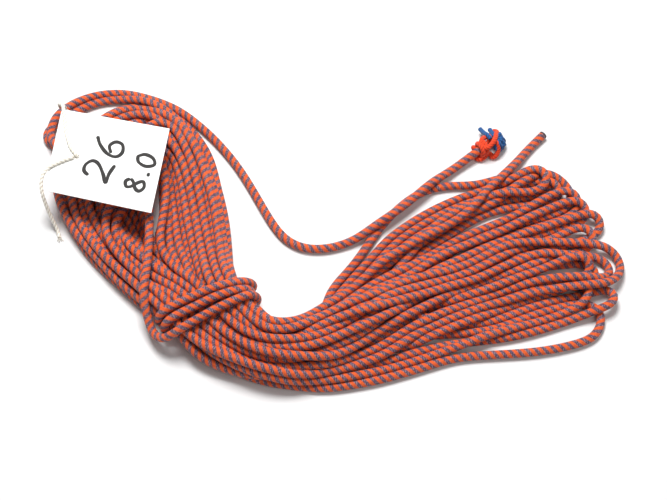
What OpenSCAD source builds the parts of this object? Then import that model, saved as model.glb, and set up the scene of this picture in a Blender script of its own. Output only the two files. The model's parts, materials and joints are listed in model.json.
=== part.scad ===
// Dynamic climbing rope, stored as a flat hank: one unbroken rope that starts in a
// yarn knot, runs as a long free tail past its tag, winds round the waist of the hank,
// lays down the hank's loops and ends in a short tail with a heat-sealed cut.
// Millimetres, +Z up, origin at the middle of the footprint on the ground.

/* [Rope] */
// Diameter of the rope
rope_d = 8; // [7.4:0.1:8.2]
// Length of sheath that stands open at the cut end
sheath_len = 12; // [8:1:20]
// Wall of the woven sheath
sheath_wall = 0.95; // [0.7:0.05:1.2]
// Thickness of the melted cap on the cut end
tip_len = 2.4; // [1.5:0.1:4]

/* [Hank] */
// Strands side by side in one layer of the hank
lanes = 4; // [4:1:4]
// Room between neighbouring strands of a layer
lane_gap = 0.6; // [0.5:0.05:1]
// How much lower than its own diameter each layer beds down
bedding = 0.4; // [0:0.05:0.5]
// How far the strands ride up over the windings at the waist
waist_lift = 8.4; // [7.8:0.1:10]
// Direction of the strands where the hank is drawn in, in degrees
waist_angle = -50; // [-50:1:-50]

/* [Waist winding] */
// Reach of the winding on the long side of the waist
wrap_right = 43.5; // [43:0.5:46]
// Reach of the winding on the eye side of the waist
wrap_left = 45; // [45:0.5:48]
// Radius at which the winding turns its corners
wrap_corner = 11; // [10:0.5:12]
// Advance of the winding in one turn
wrap_pitch = 8.6; // [8.5:0.1:9]

/* [Tag] */
// Thickness of the card
card_t = 0.8; // [0.5:0.1:1.5]
// Height of the card's underside above the ground
card_z = 38.4; // [38.4:0.1:42]
// Diameter of the punched hole
card_hole_d = 4.6; // [4.6:0.1:6]
// Diameter of the cotton string
string_d = 3.4; // [3:0.1:3.6]

/* [Yarn knot] */
// Diameter of the orange yarn
orange_d = 3.2; // [2.8:0.1:3.6]
// Diameter of the blue yarn
blue_d = 3; // [2.6:0.1:3.4]

/* [Hidden] */

// Middle of the footprint in the coordinates that the routes are drawn in
base = [-7.4, 9.2];

rope_r = rope_d / 2;
lane = rope_d + lane_gap;
layer = rope_d - bedding;
loop_rings = 24;
hank_sides = 6;
tail_sides = 8;
// Distance from a strand's axis to its flats
flat_r = rope_r * cos(30);
// Axis height of a strand that lies on the ground, cut flat by a tenth of its diameter
ground_z = flat_r - rope_d / 10;
up = [0, 0, 1];

// The waist: its middle, the direction along the strands and the one across them
waist = [-101, -64];
along = [cos(waist_angle), sin(waist_angle)];
across = [-sin(waist_angle), cos(waist_angle)];
half_w = lanes * lane;
core_s = 20;

function at_waist(s, p) = waist + s * along + p * across;

// Outlines of the two halves of the hank, from waist to waist: outermost and innermost lane
head_outer = [
    at_waist(-17, -half_w), [-193, -32], [-234, 36], [-222, 108],
    [-172, 141], [-126, 116], [-102, 46], at_waist(-12, half_w)
];
head_inner = [
    at_waist(-core_s, 0), [-148, -12], [-176, 30], [-182, 70],
    [-166, 90], [-152, 66], [-144, 18], at_waist(-core_s, 0)
];
body_outer = [
    at_waist(12, half_w), [-45, -64], [4, -54], [46, 4], [110, 48], [185, 56], [238, 10],
    [238, -56], [170, -94], [85, -113], [0, -134], [-64, -138], at_waist(23, -half_w)
];
body_inner = [
    at_waist(core_s, 0), [-49, -101], [24, -88], [78, -54], [128, -36], [172, -14], [198, -18],
    [190, -38], [150, -50], [82, -68], [24, -90], [-49, -101], at_waist(core_s, 0)
];

// First and last ring of the loops, counted from the crest of the head
first_ring = -3;
last_ring = 15 * loop_rings + 9;

// Where the tag's string rings the rope, and the direction of the rope there
ring_at = [-242, 137, 9];
ring_turn = 45;
ring_r = 6.4;

// Long tail, from the winding over the eye, under the card, round the head and on to the knot
long_points = [
    [-139, -104, 36], [-149, -98, 30.5], [-155.5, -82, 33.5], [-157.5, -61, 40], [-157, -38, 41.8],
    [-157, -12, 38.6], [-158, 14, 33.7], [-162, 42, 33.7], [-169, 66, 33.7], [-184, 84, 33.7],
    [-206, 92, 33.7], [-228, 91, 33.7], [-244, 95, 29], [-252, 104, 21], [-252, 117, 14],
    [-248, 131, 9], [-242, 137, 9], [-236, 143, 9], [-222, 153, 6], [-205, 158, 4], [-184, 157, 4],
    [-163, 152, 4], [-143, 142, 4], [-124, 128, 4], [-106, 110, 4], [-90, 90, 4],
    [-79, 72, 4], [-67, 50, 4], [-55, 27, 4], [-41, 6, 4], [-23, -2, 4],
    [-4, -1, 4], [15, 5, 4], [34, 17, 4], [54, 33, 4], [74, 51, 4],
    [94, 69, 4.5], [112, 82.5, 6.5], [126, 93, 8]
];
rope_end = [134, 99, 8];

// Short tail, from the last loop over the edge of the hank to the ground
short_points = [
    [56, 16, 25.5], [72, 29, 25.5], [92, 41, 25.5], [110, 49, 25.8], [126, 56, 25.2],
    [141, 66, 22], [152, 77, 15], [162, 87.5, 8], [171, 96.5, 4.6]
];
cut_start = [178, 103.8, 4];
cut_turn = 46;
tip_edge = 1.2;

// Corners of the hand-cut card, and the hole near its left edge
card_corners = [[-237, 118], [-142, 98], [-153, 15], [-245, 37]];
hole_at = [-220, 70];
// Knot under the card: its radius, height and rounding, and the head's radius over the hole
ball_r = 4.4;
ball_h = 6.4;
ball_edge = 1.5;
head_r = 2.9;
string_z = card_z + card_t + string_d / 2 + 0.1;
loop_leg_turn = 125;
tail_leg_turn = 205;
loop_leg_points = [
    [-226, 79, 41], [-230.5, 92, 41], [-233, 105, 41.1], [-235, 116, 41.3], [-236.6, 122.5, 39],
    [-238, 127.5, 32], [-239.3, 132, 22]
];
tail_leg_points = [
    [-229, 66, 41], [-237, 62, 41.2], [-243.3, 57.5, 41.2], [-247.5, 51, 39.5],
    [-248.6, 45, 36.8], [-248, 38, 32], [-246, 32, 24], [-243.5, 27, 15], [-240.5, 22, 7],
    [-238, 17, 2.6], [-236, 11, 1.9]
];

// The yarns of the knot: loose loops below and over the crown, with turns round the rope between
orange_loop = [
    [139, 93, 4.2], [137.5, 86.5, 2], [132, 83, 1.7], [126.5, 84.5, 1.7], [124.2, 89.5, 1.7],
    [124, 95, 2.4], [123, 98.5, 6]
];
orange_crown = [
    [143, 101.5, 14], [145.5, 107.5, 11.5], [143.5, 113, 8], [139, 110.5, 4.5], [140, 104, 2.2],
    [145, 99, 2], [146, 93.5, 1.9], [142, 88.5, 1.8]
];
blue_points = [
    [130.5, 118, 5.5], [133, 112.5, 7], [135.5, 107.5, 10.5], [139.5, 105.5, 15],
    [145, 109, 14], [149, 112, 10], [151.5, 106.5, 6], [152, 100, 4.5], [150, 94, 4],
    [146.5, 90, 5.5], [147.5, 95.5, 8], [148.5, 101, 10.5]
];
yarn_turns = 2.25;
yarn_turn_rings = 12;
yarn_squeeze = 0.35;

// ---------------------------------------------------------------- curves

function unit(v) = v / norm(v);
function clamp01(x) = min(max(x, 0), 1);
function smooth(x) = let (c = clamp01(x)) c * c * (3 - 2 * c);

// Point at u, from 0 to 1, on a smooth open curve through the points
function curve(points, u) =
    let (
        n = len(points) - 1,
        x = min(u * n, n - 1e-6),
        i = floor(x),
        f = x - i,
        b = points[i],
        c = points[i + 1],
        a = i > 0 ? points[i - 1] : 2 * b - c,
        d = i + 2 <= n ? points[i + 2] : 2 * c - b
    )
    0.5 * (2 * b + (c - a) * f + (2 * a - 5 * b + 4 * c - d) * f * f
        + (3 * b - a - 3 * c + d) * f * f * f);

// The curve with the given number of rings for each of its stretches
function refine(points, rings) =
    let (n = (len(points) - 1) * rings)
    [for (i = [0:n]) curve(points, i / n)];

// Direction of a route at one of its rings: the mean of the chords that meet there
function heading(route, i) =
    let (n = len(route) - 1)
    i == 0 ? unit(route[1] - route[0])
    : i == n ? unit(route[n] - route[n - 1])
    : unit(unit(route[i + 1] - route[i]) + unit(route[i] - route[i - 1]));

// Level side directions for a route that never runs upright
function level_sides(route, sense = 1) =
    [for (i = [0:len(route) - 1]) sense * cross(heading(route, i), up)];

function ring_points(centre, dir, side, d, sides) =
    let (s = unit(side - (side * dir) * dir), t = cross(s, dir))
    [for (j = [0:sides - 1])
        let (p = centre + d / 2 * (cos(360 * j / sides) * s + sin(360 * j / sides) * t))
        [p.x, p.y, max(p.z, 0)]];

// ---------------------------------------------------------------- hank

function station(ring) = ring - loop_rings * floor(ring / loop_rings);

// The outline at a ring: half a loop of head, the waist, the body, the waist again
function outline(head, body, ring) =
    let (k = station(ring))
    k <= 5 ? curve(head, 0.5 + k / 10)
    : k < 6 ? (6 - k) * head[len(head) - 1] + (k - 5) * body[0]
    : k <= 18 ? curve(body, (k - 6) / 12)
    : k < 19 ? (19 - k) * body[len(body) - 1] + (k - 18) * head[0]
    : curve(head, (k - 19) / 10);

// Lane of the strand after t loops: in over one layer, out over the next
function lane_at(t) =
    let (q = t + 0.25, x = q - 2 * lanes * floor(q / (2 * lanes)))
    x <= lanes ? x - 0.25 : 2 * lanes - 0.25 - x;

// Layer of the strand after t loops: it climbs in the half turn where the spiral reverses
function layer_at(t) =
    smooth((t - lanes + 0.5) * 2) + smooth((t - 2 * lanes + 0.5) * 2)
    + smooth((t - 3 * lanes + 0.5) * 2);

function lift_at(ring) =
    let (k = station(ring), off = min(abs(k - 5.5), abs(k - 18.5)))
    waist_lift * smooth((3 - off) / 2.25);

function hank_point(ring) =
    let (
        t = ring / loop_rings,
        outer = outline(head_outer, body_outer, ring),
        inner = outline(head_inner, body_inner, ring),
        p = outer + (inner - outer) * lane_at(t) / lanes
    )
    [p.x, p.y, ground_z + layer * layer_at(t) + lift_at(ring)];

hank_route = [for (k = [first_ring:last_ring]) hank_point(k)];

// ---------------------------------------------------------------- winding

function waist_point(s, p, z) = let (q = at_waist(s, p)) [q.x, q.y, z];

wrap_low = ground_z;
wrap_high = ground_z + waist_lift + 3 * layer + rope_d + 0.5;
wrap_steps = [0, 22.5, 45, 67.5, 90];
wc = wrap_corner;

// One turn of the winding as [across, height], from the eye side over the top
wrap_section = concat(
    [[-wrap_left + wc, wrap_high], [-wrap_left / 3 + 3, wrap_high], [wrap_right / 3 - 4, wrap_high]],
    [for (a = wrap_steps) [wrap_right - wc + wc * sin(a), wrap_high - wc + wc * cos(a)]],
    [for (a = wrap_steps) [wrap_right - wc + wc * cos(a), wrap_low + wc - wc * sin(a)]],
    [[wrap_right / 3 - 4, wrap_low], [-wrap_left / 3 + 3, wrap_low]],
    [for (a = wrap_steps) [-wrap_left + wc - wc * sin(a), wrap_low + wc - wc * cos(a)]],
    [for (a = [0, 22.5, 45, 67.5]) [-wrap_left + wc - wc * cos(a), wrap_high - wc + wc * sin(a)]]
);
wrap_first_s = 11.2;
wrap_flare = 0.9;
wrap_rings = 62;
wrap_turns = [
    for (m = [0:wrap_rings])
    let (
        q = wrap_section[m % loop_rings],
        s = wrap_first_s - wrap_pitch * m / loop_rings + wrap_flare * pow(clamp01(1 - m / 3), 2)
    )
    waist_point(s, q[0], q[1])
];

// The winding leaves under the loops on a wide bend and follows the head to the first loop
exit_r = 22;
exit_s = wrap_first_s - wrap_pitch * wrap_rings / loop_rings;
exit_p = -14;
exit_bend = [
    for (a = [0:15:90])
    waist_point(exit_s - exit_r + exit_r * cos(a), exit_p - exit_r * sin(a), ground_z)
];
loop_start = hank_route[0];
loop_heading = heading(hank_route, 0);
exit_run = [
    for (k = [-4.5, -4.1, -3.7])
    let (p = hank_point(k))
    [p.x, p.y, ground_z + (loop_start.z - ground_z) * smooth((k + 4.7) * 1.2)]
];
wrap_route = concat(
    wrap_turns, exit_bend, exit_run, [loop_start - 10 * loop_heading, loop_start]
);
wrap_sides = concat(
    [for (m = [0:wrap_rings]) [along.x, along.y, 0]],
    [for (i = [wrap_rings + 1:len(wrap_route) - 1]) -cross(heading(wrap_route, i), up)]
);

// ---------------------------------------------------------------- tails

wrap_start = wrap_route[0];
long_route = concat(
    [wrap_start, wrap_start - 9 * heading(wrap_route, 0)],
    refine(long_points, 2),
    [rope_end]
);

loop_end = hank_route[len(hank_route) - 1];
loop_end_heading = heading(hank_route, len(hank_route) - 1);
cut_dir = [cos(cut_turn), sin(cut_turn), 0];
short_route = concat(
    [loop_end, loop_end + 9 * loop_end_heading],
    refine(short_points, 2),
    [cut_start - 9 * cut_dir, cut_start]
);

// ---------------------------------------------------------------- string and yarn

function leg_start(turn, r) =
    [hole_at.x + r * cos(turn), hole_at.y + r * sin(turn), string_z];

ring_side = [sin(ring_turn), -cos(ring_turn), 0];
loop_leg_route = concat(
    [leg_start(loop_leg_turn, head_r - 0.5), leg_start(loop_leg_turn, head_r + 3)],
    refine(loop_leg_points, 2),
    [ring_at + ring_r * (cos(60) * ring_side + sin(60) * up)]
);
tail_leg_route = concat(
    [leg_start(tail_leg_turn, head_r - 0.5), leg_start(tail_leg_turn, head_r + 3)],
    refine(tail_leg_points, 2)
);

// Turns of yarn round the last of the rope
knot_dir = unit(rope_end - long_points[len(long_points) - 1]);
knot_side = cross(knot_dir, up);
function yarn_turn(d, from, to, turns, phase) =
    let (n = round(turns * yarn_turn_rings), r = rope_r + d / 2 - yarn_squeeze)
    [for (i = [0:n])
        let (a = phase + 360 * i / yarn_turn_rings)
        rope_end + (from + (to - from) * i / n) * knot_dir
            + r * (cos(a) * knot_side + sin(a) * up)];
orange_route = concat(
    refine(orange_loop, 2),
    yarn_turn(orange_d, -8.5, 1.5, yarn_turns, 180),
    refine(orange_crown, 2)
);
blue_route = refine(blue_points, 3);

// Side directions carried along a route that turns every way, without twisting
function carried_sides(route, i = 0, last = undef, out = []) =
    i == len(route) ? out
    : let (
        dir = heading(route, i),
        guess = is_undef(last) ? (abs(dir.z) > 0.9 ? [1, 0, 0] : cross(dir, up)) : last,
        s = unit(guess - (guess * dir) * dir)
    )
    carried_sides(route, i + 1, s, concat(out, [s]));

// ---------------------------------------------------------------- gap of a tube to itself

// How far a point stands off the flats of the six-sided strand between two rings
function stand_off(point, a, b, side) =
    let (
        dir = unit(b - a),
        v = point - a,
        t = v * dir,
        s = unit(side - (side * dir) * dir),
        x = v * s,
        z = v * cross(s, dir)
    )
    t < -0.5 || t > norm(b - a) + 0.5 ? 1000
    : max(abs(z), abs(x * cos(30) + z / 2), abs(x * cos(30) - z / 2)) - flat_r;

// Corners of one ring, and points half way to the next ring
function probes(route, sides, i) =
    let (
        here = ring_points(route[i], heading(route, i), sides[i], rope_d, hank_sides),
        next = ring_points(route[i + 1], heading(route, i + 1), sides[i + 1], rope_d, hank_sides)
    )
    concat(here, (here + next) / 2);

// Least gap of a tube to itself, over the pairs of rings that a function lists as neighbours
function least_gap(route, sides, neighbours) =
    let (n = len(route) - 2)
    min([for (i = [0:n])
        let (tests = probes(route, sides, i))
        each [for (j = neighbours(i)) if (j >= 0 && j <= n && abs(i - j) > hank_sides)
            min([for (q = tests) stand_off(q, route[j], route[j + 1], sides[j])])]]);

// Strands at the same place of other loops, and those on the far side of the waist
hank_neighbours = function (i)
    let (k = i + first_ring, base_k = station(k), mirror = loop_rings - base_k)
    [for (m = [-1:len(hank_route) / loop_rings + 1], k0 = [base_k, mirror], e = [-1:1])
        m * loop_rings + k0 + e - first_ring];

wrap_neighbours = function (i) [for (j = [0:len(wrap_route) - 2]) j];

// ---------------------------------------------------------------- solids

// Moves a piece from the drawn coordinates to the middle of the footprint
module placed() {
    translate([-base.x, -base.y, 0]) children();
}

module tube(route, d, sides, side_dirs) {
    n = len(route);
    points = [
        for (i = [0:n - 1])
        each ring_points(route[i], heading(route, i), side_dirs[i], d, sides)
    ];
    skin = [
        for (i = [0:n - 2], j = [0:sides - 1])
        let (a = i * sides + j, b = i * sides + (j + 1) % sides)
        each [[a, b, a + sides], [b, b + sides, a + sides]]
    ];
    last = (n - 1) * sides;
    start_cap = [for (j = [1:sides - 2]) [0, j + 1, j]];
    end_cap = [for (j = [1:sides - 2]) [last, last + j, last + j + 1]];
    polyhedron(points, concat(skin, start_cap, end_cap), convexity = 10);
}

// Half section of a round piece between two heights, with its edges chamfered
module chamfered(r, low, high, bottom, top) {
    polygon([
        [0, low], [r - bottom, low], [r, low + bottom],
        [r, high - top], [r - top, high], [0, high]
    ]);
}

// Puts a piece drawn along +X, from the end of the short tail, onto the cut end
module on_cut_end(x = 0) {
    placed()
        translate(cut_start)
            rotate([0, 90, cut_turn])
                translate([0, 0, x])
                    children();
}

module hank_loops() {
    sides = level_sides(hank_route);
    echo(least_gap_of_loops = least_gap(hank_route, sides, hank_neighbours));
    color("orangered")
        placed() tube(hank_route, rope_d, hank_sides, sides);
}

module waist_wrap() {
    echo(least_gap_of_winding = least_gap(wrap_route, wrap_sides, wrap_neighbours));
    color("tomato")
        placed() tube(wrap_route, rope_d, hank_sides, wrap_sides);
}

module long_tail() {
    color("coral")
        placed() tube(long_route, rope_d, tail_sides, level_sides(long_route));
}

module short_tail() {
    color("coral")
        placed() tube(short_route, rope_d, tail_sides, level_sides(short_route));
}

module cut_end_sheath() {
    color("slateblue")
        on_cut_end()
            difference() {
                cylinder(h = sheath_len, d = rope_d, $fn = 48);
                translate([0, 0, -1])
                    cylinder(h = sheath_len + 2, d = rope_d - 2 * sheath_wall, $fn = 48);
            }
}

// Seven twisted strands: one in the middle and six round it
module cut_end_core() {
    core_r = rope_r - sheath_wall - 0.02;
    strand_d = core_r * 2 / 3 - 0.02;
    color("white")
        on_cut_end() {
            cylinder(h = sheath_len, d = strand_d, $fn = 24);
            for (a = [0:60:300])
                rotate([0, 0, a])
                    translate([core_r * 2 / 3, 0, 0])
                        cylinder(h = sheath_len, d = strand_d, $fn = 24);
        }
}

module cut_end_tip() {
    color("dimgray")
        on_cut_end(sheath_len)
            rotate_extrude($fn = 48)
                chamfered(rope_r - 0.1, 0, tip_len, bottom = 0, top = tip_edge);
}

module knot_orange_yarn() {
    color("darkorange")
        placed() tube(orange_route, orange_d, tail_sides, carried_sides(orange_route));
}

module knot_blue_yarn() {
    color("royalblue")
        placed() tube(blue_route, blue_d, tail_sides, carried_sides(blue_route));
}

module tag_card() {
    color("whitesmoke")
        placed()
            difference() {
                translate([0, 0, card_z])
                    linear_extrude(card_t) polygon(card_corners);
                translate([hole_at.x, hole_at.y, card_z - 1])
                    cylinder(h = card_t + 2, d = card_hole_d, $fn = 32);
            }
}

// An eye round the rope and the leg that leads from it over the card to the hole
module tag_string_loop() {
    color("ivory")
        placed() {
            translate(ring_at)
                rotate([0, 90, ring_turn])
                    rotate_extrude($fn = 48)
                        translate([ring_r, 0]) circle(d = string_d, $fn = tail_sides);
            tube(loop_leg_route, string_d, tail_sides, carried_sides(loop_leg_route));
        }
}

module tag_string_tail() {
    color("wheat")
        placed() tube(tail_leg_route, string_d, tail_sides, carried_sides(tail_leg_route));
}

// The knot: a ball under the card, a neck through the hole and a head where both legs leave
module tag_string_knot() {
    color("ivory")
        placed()
            translate([hole_at.x, hole_at.y, card_z])
                rotate_extrude($fn = 48)
                    union() {
                        chamfered(ball_r, -ball_h, 0, bottom = ball_edge, top = ball_edge);
                        translate([0, -1]) square([card_hole_d / 2 - 0.1, card_t + 2]);
                        translate([0, card_t]) square([head_r, string_d + 0.4]);
                    }
}

hank_loops();
waist_wrap();
long_tail();
short_tail();
cut_end_sheath();
cut_end_core();
cut_end_tip();
knot_orange_yarn();
knot_blue_yarn();
tag_card();
tag_string_loop();
tag_string_tail();
tag_string_knot();
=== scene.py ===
"""Dynamic climbing rope stored as a flat hank, with its yarn knot, cut end and card tag.

Routes are drawn in millimetres on the ground plane of the studio, and every mesh is
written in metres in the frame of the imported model.
"""

import json
import logging
import math
from dataclasses import dataclass, field
from enum import Enum
from typing import Callable, Sequence

import bpy
import numpy as np
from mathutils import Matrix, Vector

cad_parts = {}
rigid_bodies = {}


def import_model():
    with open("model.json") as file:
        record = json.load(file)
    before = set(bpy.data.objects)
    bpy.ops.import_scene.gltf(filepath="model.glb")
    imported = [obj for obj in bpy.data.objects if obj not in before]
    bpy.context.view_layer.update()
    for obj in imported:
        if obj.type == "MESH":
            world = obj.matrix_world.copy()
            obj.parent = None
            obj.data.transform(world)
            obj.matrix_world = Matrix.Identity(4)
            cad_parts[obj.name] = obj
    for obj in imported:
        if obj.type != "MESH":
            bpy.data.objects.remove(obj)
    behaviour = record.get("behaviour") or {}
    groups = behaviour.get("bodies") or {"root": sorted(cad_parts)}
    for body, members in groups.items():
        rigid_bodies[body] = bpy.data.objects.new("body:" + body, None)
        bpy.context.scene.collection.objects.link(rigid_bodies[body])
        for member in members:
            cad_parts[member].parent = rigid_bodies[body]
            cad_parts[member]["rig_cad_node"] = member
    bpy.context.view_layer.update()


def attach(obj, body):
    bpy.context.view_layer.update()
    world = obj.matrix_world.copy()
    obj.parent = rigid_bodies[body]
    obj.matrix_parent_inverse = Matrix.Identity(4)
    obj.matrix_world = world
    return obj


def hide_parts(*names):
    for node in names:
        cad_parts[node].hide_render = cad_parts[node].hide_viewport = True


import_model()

LOG = logging.getLogger("rope")

# Middle of the model's footprint in the coordinates that the routes are drawn in
BASE = np.array([-7.4, 9.2, 0.0])
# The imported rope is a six-sided tube, 8 mm from corner to corner: a round one with the same section
ROPE_WIDTH = 7.2
MILLIMETRE = 0.001
# Where the tag's string goes round the rope
STRING_RING = (-242.0, 137.0, 9.0)


class Body(str, Enum):
    """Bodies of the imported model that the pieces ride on."""

    ROPE = "rope"
    TAG = "tag"


class Slot(str, Enum):
    """Material slots of the record that the pieces here belong to."""

    SHEATH = "rope_sheath"
    MELTED = "melted_nylon"
    ORANGE = "orange_yarn"
    BLUE = "blue_yarn"
    CARD = "card"
    COTTON = "cotton_string"


# ---------------------------------------------------------------- small helpers


def metres(points: np.ndarray) -> np.ndarray:
    """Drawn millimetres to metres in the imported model's frame."""
    return (np.asarray(points, float) - BASE) * MILLIMETRE


def ease(x: np.ndarray | float) -> np.ndarray:
    """Smooth step from 0 to 1."""
    x = np.clip(x, 0.0, 1.0)
    return x * x * (3 - 2 * x)


def catmull(points: Sequence, per_span: int) -> np.ndarray:
    """A smooth open curve through points of any width.

    Args:
        points: rows that the curve passes through.
        per_span: how many samples each span gets.

    Returns:
        The sampled rows, the last point among them.
    """
    pts = np.asarray(points, float)
    ext = np.vstack([2 * pts[0] - pts[1], pts, 2 * pts[-1] - pts[-2]])
    f = (np.arange(per_span) / per_span)[None, :, None]
    a, b, c, d = (ext[i : i + len(pts) - 1][:, None] for i in range(4))
    rows = 0.5 * (
        2 * b + (c - a) * f + (2 * a - 5 * b + 4 * c - d) * f**2 + (3 * b - a - 3 * c + d) * f**3
    )
    return np.vstack([rows.reshape(-1, pts.shape[1]), pts[-1]])


def arc(points: np.ndarray) -> np.ndarray:
    """Distance along a polyline at each of its points, from its first three columns."""
    steps = np.linalg.norm(np.diff(points[:, :3], axis=0), axis=1)
    return np.concatenate([[0.0], np.cumsum(steps)])


def resample(points: np.ndarray, step: float) -> np.ndarray:
    """The same polyline with points an even step apart, in all its columns.

    Args:
        points: its points.
        step: about how far apart they get.

    Returns:
        The new points, with the same ends.
    """
    s = arc(points)
    n = max(2, int(round(s[-1] / step)))
    t = np.linspace(0.0, s[-1], n + 1)
    return np.stack([np.interp(t, s, points[:, i]) for i in range(points.shape[1])], 1)


def smoothed(points: np.ndarray, rounds: int) -> np.ndarray:
    """A polyline with its small kinks evened out and its ends kept.

    Args:
        points: its points.
        rounds: how often each point moves halfway to its neighbours' middle.

    Returns:
        The moved points.
    """
    out = points.copy()
    for _ in range(rounds):
        out[1:-1] += 0.25 * (out[:-2] + out[2:] - 2 * out[1:-1])
    return out


def headings(points: np.ndarray) -> np.ndarray:
    """Unit directions of a polyline at its points."""
    d = np.gradient(points, axis=0)
    return d / np.maximum(np.linalg.norm(d, axis=1), 1e-12)[:, None]


def carried_frames(points: np.ndarray) -> tuple[np.ndarray, np.ndarray]:
    """Side directions carried along a polyline without twist.

    Args:
        points: the polyline.

    Returns:
        Two unit directions square to the polyline at each point.
    """
    t = headings(points)
    side = np.empty_like(t)
    first = np.cross(t[0], (0.0, 0.0, 1.0))
    if np.linalg.norm(first) < 0.2:
        first = np.array([1.0, 0.0, 0.0])
    side[0] = first - t[0] * (first @ t[0])
    side[0] /= np.linalg.norm(side[0])
    for i in range(1, len(t)):
        s = side[i - 1] - t[i] * (side[i - 1] @ t[i])
        side[i] = s / np.linalg.norm(s)
    return side, np.cross(side, t)


# ---------------------------------------------------------------- colours and nodes


def linear(hex_colour: str) -> tuple[float, float, float, float]:
    """Turns an sRGB colour to linear.

    Args:
        hex_colour: the colour as #RRGGBB.

    Returns:
        Linear red, green and blue, and an alpha of 1.
    """
    values = [int(hex_colour[i : i + 2], 16) / 255 for i in (1, 3, 5)]
    r, g, b = (v / 12.92 if v <= 0.04045 else ((v + 0.055) / 1.055) ** 2.4 for v in values)
    return (r, g, b, 1.0)


def add_node(tree: bpy.types.NodeTree, kind: str, settings: dict, links: dict) -> bpy.types.Node:
    """Adds a node with its settings and links.

    Args:
        tree: the node tree it goes into.
        kind: Blender's name of the node type.
        settings: properties by name, and input values by the input's name or number.
        links: what feeds an input, by the input's name or number: an output socket, or a
            node for its first output.

    Returns:
        The new node.
    """
    node = tree.nodes.new(kind)
    for key, value in settings.items():
        if isinstance(key, str) and hasattr(node, key):
            setattr(node, key, value)
        else:
            node.inputs[key].default_value = value
    for key, source in links.items():
        is_node = isinstance(source, bpy.types.Node)
        tree.links.new(source.outputs[0] if is_node else source, node.inputs[key])
    return node


def new_material(name: str) -> tuple[bpy.types.Material, bpy.types.NodeTree, bpy.types.Node]:
    """An empty material.

    Args:
        name: its name.

    Returns:
        The material, its node tree and its surface shader.
    """
    material = bpy.data.materials.new(name)
    material.use_nodes = True
    tree = material.node_tree
    tree.nodes.clear()
    shader = add_node(tree, "ShaderNodeBsdfPrincipled", {}, {})
    add_node(tree, "ShaderNodeOutputMaterial", {}, {"Surface": shader})
    return material, tree, shader


# ---------------------------------------------------------------- finishes


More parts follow.
